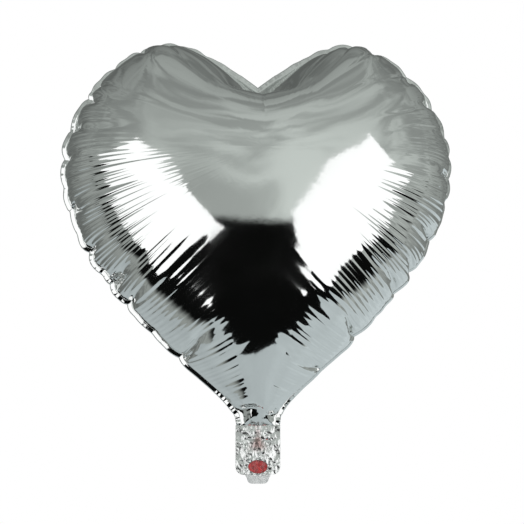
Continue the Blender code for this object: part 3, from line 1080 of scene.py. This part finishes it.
def makeValveFilm(name, nodes, side, seed):
    # the film narrows to the mouth just above the end of the tail
    v = valveCut
    bottom = tailCut["bottom"]
    waist = bottom + 0.0006
    tab = [(-v["halfWidth"], v["top"]), (v["halfWidth"], v["top"]), (v["halfWidth"], waist)]
    tab += roundedTab(v["mouthHalf"], waist, v["mouthEnd"], v["corner"])[2:]
    tab += [(-v["halfWidth"], waist)]
    film = crumpledSheet(name, tab, [], v["facet"], filmDepth(side), clearFilm, seed)
    film.data.materials.append(crinkledFilm)
    for face in film.data.polygons:
        face.material_index = int(face.center.z < bottom)
    settle(film, v["wall"])
    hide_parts(*nodes)
    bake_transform(film)


def makeInkCoat():
    v = valveCut
    patch = [(-v["inkHalf"], v["inkTop"]), (v["inkHalf"], v["inkTop"]),
             (v["inkHalf"], v["inkBottom"]), (-v["inkHalf"], v["inkBottom"])]
    ink = crumpledSheet("redInkCoat", patch, [], v["inkFacet"], inkDepth, redInk, v["inkSeed"])
    settle(ink, v["inkWall"])
    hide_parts("tail_release_coat")
    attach(ink, "tail")


def makeTail():
    v = tailCut
    middle = v["bottom"] + v["holeToEnd"] + v["holeHeight"] / 2
    hole = ovalLine(v["holeWidth"], v["holeHeight"], middle)
    frontNodes = ("tail_front_sheet", "tail_left_seal", "tail_right_seal")
    makeTailSheet("tailFrontFoil", frontNodes, -1, [hole], v["frontSeed"])
    makeTailSheet("tailBackFoil", ("tail_back_sheet",), 1, [], v["backSeed"])
    makeValveFilm("valveFrontFilm", ("tail_valve_front_film", "mouth_front_lip"), -1,
                  valveCut["frontSeed"])
    makeValveFilm("valveBackFilm", ("tail_valve_back_film", "mouth_back_lip"), 1,
                  valveCut["backSeed"])
    makeInkCoat()
    print("tail and valve done")


makeTail()


def finishHiddenNodes():
    # the stretches of valve that stay inside the foil keep their shape and get the real finishes
    finishes = {
        "neck_valve_front_film": clearFilm, "neck_valve_back_film": clearFilm,
        "inner_valve_front_film": clearFilm, "inner_valve_back_film": clearFilm,
        "inner_valve_left_seam": clearFilm, "inner_valve_right_seam": clearFilm,
        "tail_valve_left_seam": clearFilm, "tail_valve_right_seam": clearFilm,
        "neck_release_coat": redInk,
    }
    for node, finish in finishes.items():
        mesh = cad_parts[node].data
        mesh.materials.clear()
        mesh.materials.append(finish)


finishHiddenNodes()

studio = {
    "centre": (0.0, 0.0, 0.19),
    "cameraDistance": 2.40,
    "cameraAzimuth": -4.0,  # degrees from straight in front, to the right
    "cameraElevation": -1.0,
    "aim": (0.004, 0.0, 0.1605),
    "lens": 170.0,
    "overheadPower": 16.0,  # watts
    "overheadSize": 1.6,
    "overheadElevation": 50,
    "overheadDistance": 2.5,
    "surroundRadius": 8.0,
    "surroundColour": "#f4fbf6",
    "white": "#ffffff",
    "floorHeight": -0.57,
    "floorHalf": 12,
    "paperHeight": -0.56,
    "paperColour": "#dde7e9",
    "paperCorners": [(-0.40, -0.24), (0.0, -0.36), (0.25, -0.38), (0.62, -0.26), (1.0, 0.25), (1.6, 0.8),
                     (2.4, 5.0), (-1.7, 5.0), (-0.86, 0.30), (-0.44, -0.02)],
    "softboxDistance": 3.0,
    "softboxBrightness": 1.2,
}

# azimuth and elevation of the softboxes' corners, seen from the balloon
softboxes = {
    "softboxLeft": [(-39, 22), (-8, -11), (-30, -28), (-48, -42), (-62, -39), (-69, -15), (-56, 7)],
    "softboxRight": [(40, 22), (11, -5), (16, -30), (31, -44), (44, -36), (56, -25), (65, -14), (58, -2),
                     (48, 9)],
}


def direction(azimuth, elevation):
    a, e = math.radians(azimuth), math.radians(elevation)
    return Vector((math.sin(a) * math.cos(e), -math.cos(a) * math.cos(e), math.sin(e)))


def bareMaterial(name):
    material = bpy.data.materials.new(name)
    material.use_nodes = True
    material.node_tree.nodes.clear()
    return material, material.node_tree


def endInLight(tree, colour, strength):
    # strength: a number or an output socket
    light = addNode(tree, "ShaderNodeEmission", inputs=(hexColour(colour), strength))
    addNode(tree, "ShaderNodeOutputMaterial", Surface=light.outputs["Emission"])


def glowing(name, colour, strength):
    material, tree = bareMaterial(name)
    endInLight(tree, colour, strength)
    return material


def stage(piece, toCamera):
    # the film mirrors some pieces of the set, and the camera sees others
    piece.visible_camera = toCamera
    piece.visible_glossy = piece.visible_diffuse = piece.visible_transmission = not toCamera
    piece.visible_shadow = False


def flatPiece(name, points, material, toCamera):
    piece = makeObject(name, points, [range(len(points))], material, smooth=False)
    stage(piece, toCamera)


def surroundLight():
    # matt grey cloth round the set: it gives the film its grey, and its black where the cloth is dark,
    # low down in front; it is duller overhead and behind
    material, tree = bareMaterial("greySurround")
    place = addNode(tree, "ShaderNodeTexCoord").outputs["Object"]
    x, y, z = addNode(tree, "ShaderNodeSeparateXYZ", Vector=place).outputs
    upper = addNode(tree, "ShaderNodeMapRange", smoothStep, (z, -0.2, 1.0, 0.49, 0.40)).outputs[0]
    behind = addNode(tree, "ShaderNodeMapRange", inputs=(y, -1.0, 0.95, 1.02, 0.32)).outputs[0]
    toRight = addNode(tree, "ShaderNodeMapRange", smoothStep, (x, -0.5, 0.5, 0.97, 1.17)).outputs[0]
    shade = addNode(tree, "ShaderNodeMath", multiply, (upper, behind)).outputs[0]
    grey = addNode(tree, "ShaderNodeMath", multiply, (shade, toRight)).outputs[0]
    # the dark part ends at an edge that drops at both sides
    aside = addNode(tree, "ShaderNodeMath", {"operation": "ABSOLUTE"}, (x,)).outputs[0]
    edge = addNode(tree, "ShaderNodeMapRange", smoothStep, (aside, 0.50, 0.66, -0.135, -0.46)).outputs[0]
    over = addNode(tree, "ShaderNodeMath", subtract, (z, edge)).outputs[0]
    low = addNode(tree, "ShaderNodeMapRange", smoothStep, (over, 0.025, -0.025, 0.0, 1.0)).outputs[0]
    front = addNode(tree, "ShaderNodeMapRange", smoothStep, (y, 0.08, -0.12, 0.0, 1.0)).outputs[0]
    dark = addNode(tree, "ShaderNodeMath", multiply, (low, front)).outputs[0]
    share = addNode(tree, "ShaderNodeMath", subtract, (1.0, dark)).outputs[0]
    lit = addNode(tree, "ShaderNodeMath", multiply, (grey, share)).outputs[0]
    # the cloth hangs in folds that sweep up to both sides
    square = addNode(tree, "ShaderNodeMath", multiply, (x, x)).outputs[0]
    rounded = addNode(tree, "ShaderNodeMath", add, (square, 0.012)).outputs[0]
    spread = addNode(tree, "ShaderNodeMath", {"operation": "SQRT"}, (rounded,)).outputs[0]
    slope = addNode(tree, "ShaderNodeMath", multiply, (spread, 0.62)).outputs[0]
    height = addNode(tree, "ShaderNodeMath", subtract, (z, slope)).outputs[0]
    sweep = addNode(tree, "ShaderNodeMath", multiply, (height, 3.4)).outputs[0]
    along = addNode(tree, "ShaderNodeMath", multiply, (x, 0.9)).outputs[0]
    hang = addNode(tree, "ShaderNodeCombineXYZ", X=sweep, Y=along, Z=y).outputs["Vector"]
    noise = {"Scale": 1.7, "Detail": 4.0, "Roughness": 0.5, "Distortion": 0.9}
    folds = addNode(tree, "ShaderNodeTexNoise", noise, Vector=hang).outputs["Fac"]
    soft = addNode(tree, "ShaderNodeMapRange", smoothStep, (folds, 0.36, 0.64, 0.80, 1.26)).outputs[0]
    streaked = addNode(tree, "ShaderNodeMath", multiply, (lit, soft)).outputs[0]
    strength = addNode(tree, "ShaderNodeMath", add, (streaked, 0.0035)).outputs[0]
    endInLight(tree, studio["surroundColour"], strength)
    return material


def paperLight():
    # lit paper under the balloon: brighter to the right
    material, tree = bareMaterial("palePaper")
    place = addNode(tree, "ShaderNodeTexCoord").outputs["Object"]
    across = addNode(tree, "ShaderNodeSeparateXYZ", Vector=place).outputs["X"]
    slope = addNode(tree, "ShaderNodeMapRange", inputs=(across, -0.8, 1.0, 0.56, 0.80)).outputs[0]
    cloud = addNode(tree, "ShaderNodeTexNoise", {"Scale": 2.2, "Detail": 2.0}, Vector=place).outputs["Fac"]
    uneven = addNode(tree, "ShaderNodeMapRange", inputs=(cloud, 0.3, 0.7, 0.92, 1.08)).outputs[0]
    strength = addNode(tree, "ShaderNodeMath", multiply, (slope, uneven)).outputs[0]
    endInLight(tree, studio["paperColour"], strength)
    return material


def makeSurround():
    ball = bmesh.new()
    bmesh.ops.create_icosphere(ball, subdivisions=5, radius=1.0)
    points = [corner.co for corner in ball.verts]
    faces = [[corner.index for corner in face.verts] for face in ball.faces]
    surround = makeObject("greySurround", points, faces, surroundLight())
    ball.free()
    surround.location = studio["centre"]
    surround.scale = [studio["surroundRadius"]] * 3
    stage(surround, False)


def makeLights():
    world = bpy.data.worlds.new("studio")
    world.use_nodes = True
    bpy.context.scene.world = world
    world.node_tree.nodes["Background"].inputs["Color"].default_value = hexColour(studio["white"])
    centre = Vector(studio["centre"])
    for name, corners in softboxes.items():
        points = [centre + direction(*corner) * studio["softboxDistance"] for corner in corners]
        flatPiece(name, points, glowing(name, studio["white"], studio["softboxBrightness"]), False)
    makeSurround()
    paper = [(x, y, studio["paperHeight"]) for x, y in studio["paperCorners"]]
    flatPiece("palePaper", paper, paperLight(), False)
    half = studio["floorHalf"]
    floor = [(x * half, y * half, studio["floorHeight"]) for x, y in ((-1, -1), (1, -1), (1, 1), (-1, 1))]
    flatPiece("paleFloor", floor, glowing("paleFloor", studio["white"], 1.0), True)
    lamp = bpy.data.lights.new("overheadSoftbox", "AREA")
    lamp.size = studio["overheadSize"]
    lamp.energy = studio["overheadPower"]
    overhead = bpy.data.objects.new("overheadSoftbox", lamp)
    way = direction(0, studio["overheadElevation"])
    overhead.location = centre + way * studio["overheadDistance"]
    overhead.rotation_euler = way.to_track_quat("Z", "Y").to_euler()
    overhead.visible_glossy = overhead.visible_camera = False
    bpy.context.scene.collection.objects.link(overhead)


def makeCamera():
    camera = bpy.data.objects.new("camera", bpy.data.cameras.new("camera"))
    bpy.context.scene.collection.objects.link(camera)
    way = direction(studio["cameraAzimuth"], studio["cameraElevation"])
    camera.location = Vector(studio["aim"]) + way * studio["cameraDistance"]
    camera.rotation_euler = (-way).to_track_quat("-Z", "Y").to_euler()
    camera.data.lens = studio["lens"]
    camera.data.sensor_width = 36.0
    bpy.context.scene.camera = camera
    bpy.context.scene.view_settings.view_transform = "Standard"


makeLights()
makeCamera()
print("studio done")
